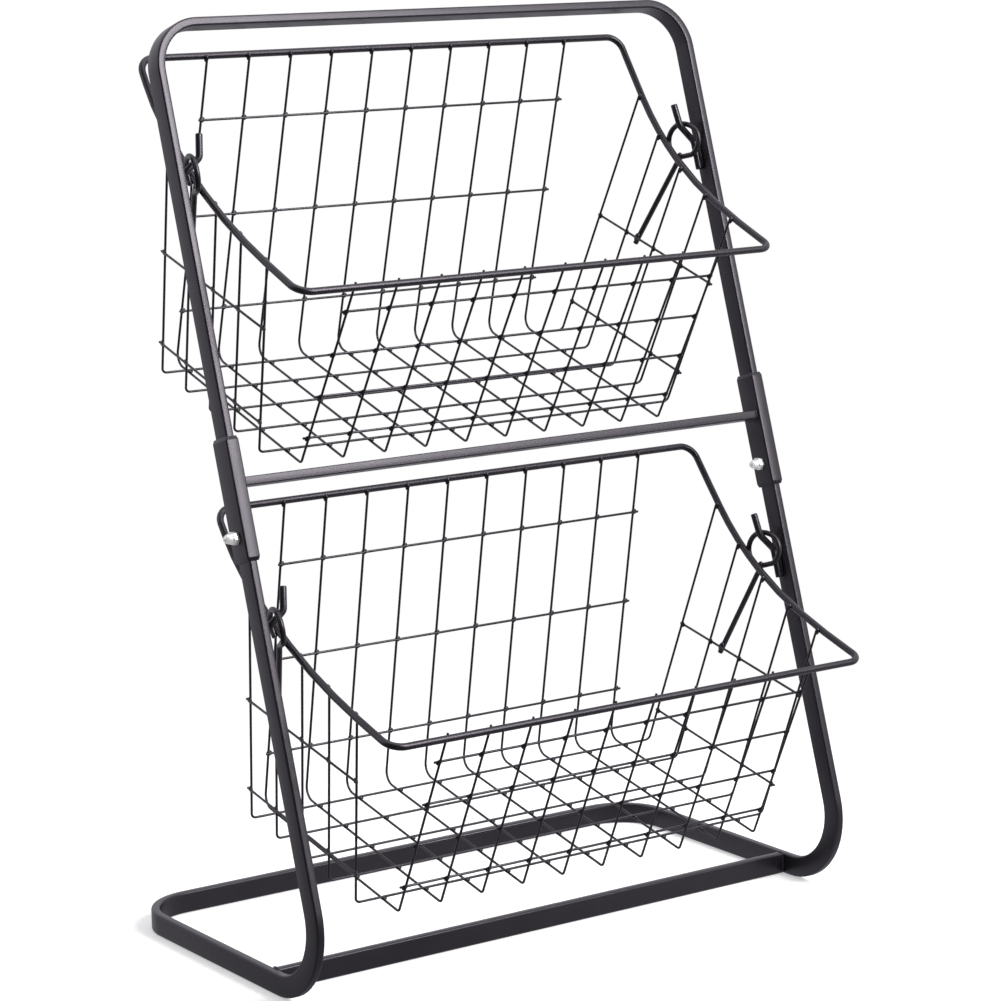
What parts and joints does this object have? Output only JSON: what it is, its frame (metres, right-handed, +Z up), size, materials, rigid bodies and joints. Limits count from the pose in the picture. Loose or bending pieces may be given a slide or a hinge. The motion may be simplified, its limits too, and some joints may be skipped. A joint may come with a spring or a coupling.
{
  "type": "two-tier kitchen rack",
  "caption": "Free-standing leaning rack of flat black tube with wire baskets hung one above the other on side hooks, for holding fruit, vegetables or packets on a worktop.",
  "frame": {"origin": "on the floor, on the frame's middle plane, under the middle of the rack's depth", "axes": "+Z up, +Y to the back of the rack, +X to the right seen from the front"},
  "size_m": [0.4558, 0.336, 0.6272],
  "materials": {
    "black_coat": "satin black powder coat",
    "bright_hardware": "bright plated bolts and cap nuts"
  },
  "bodies": {
    "frame": {"base_front_bar": "black_coat", "left_bolt": "bright_hardware", "left_cap_nut": "bright_hardware", "left_lower_frame_hook": "black_coat", "left_sleeve": "black_coat", "left_upper_frame_hook": "black_coat", "lower_frame_tube": "black_coat", "middle_crossbar": "black_coat", "right_bolt": "bright_hardware", "right_cap_nut": "bright_hardware", "right_lower_frame_hook": "black_coat", "right_sleeve": "black_coat", "right_upper_frame_hook": "black_coat", "upper_frame_tube": "black_coat"},
    "upper_basket": {"upper_back_rail_1": "black_coat", "upper_back_rail_2": "black_coat", "upper_back_rail_3": "black_coat", "upper_basket_rim": "black_coat", "upper_cross_mat": "black_coat", "upper_front_rail_1": "black_coat", "upper_front_rail_2": "black_coat", "upper_front_rail_3": "black_coat", "upper_front_rail_4": "black_coat", "upper_left_basket_hook": "black_coat", "upper_long_wire_01": "black_coat", "upper_long_wire_02": "black_coat", "upper_long_wire_03": "black_coat", "upper_long_wire_04": "black_coat", "upper_long_wire_05": "black_coat", "upper_long_wire_06": "black_coat", "upper_long_wire_07": "black_coat", "upper_long_wire_08": "black_coat", "upper_long_wire_09": "black_coat", "upper_long_wire_10": "black_coat", "upper_right_basket_hook": "black_coat"},
    "lower_basket": {"lower_back_rail_1": "black_coat", "lower_back_rail_2": "black_coat", "lower_back_rail_3": "black_coat", "lower_basket_rim": "black_coat", "lower_cross_mat": "black_coat", "lower_front_rail_1": "black_coat", "lower_front_rail_2": "black_coat", "lower_front_rail_3": "black_coat", "lower_front_rail_4": "black_coat", "lower_left_basket_hook": "black_coat", "lower_long_wire_01": "black_coat", "lower_long_wire_02": "black_coat", "lower_long_wire_03": "black_coat", "lower_long_wire_04": "black_coat", "lower_long_wire_05": "black_coat", "lower_long_wire_06": "black_coat", "lower_long_wire_07": "black_coat", "lower_long_wire_08": "black_coat", "lower_long_wire_09": "black_coat", "lower_long_wire_10": "black_coat", "lower_right_basket_hook": "black_coat"}
  },
  "joints": [
    {"name": "upper_basket_swing", "type": "hinge", "parent": "frame", "child": "upper_basket", "pos_m": [0, 0.04183, 0.53207], "axis": [1, 0, 0], "range_deg": [-30, 24]},
    {"name": "lower_basket_swing", "type": "hinge", "parent": "frame", "child": "lower_basket", "pos_m": [0, -0.04838, 0.24596], "axis": [1, 0, 0], "range_deg": [-30, 30]}
  ]
}
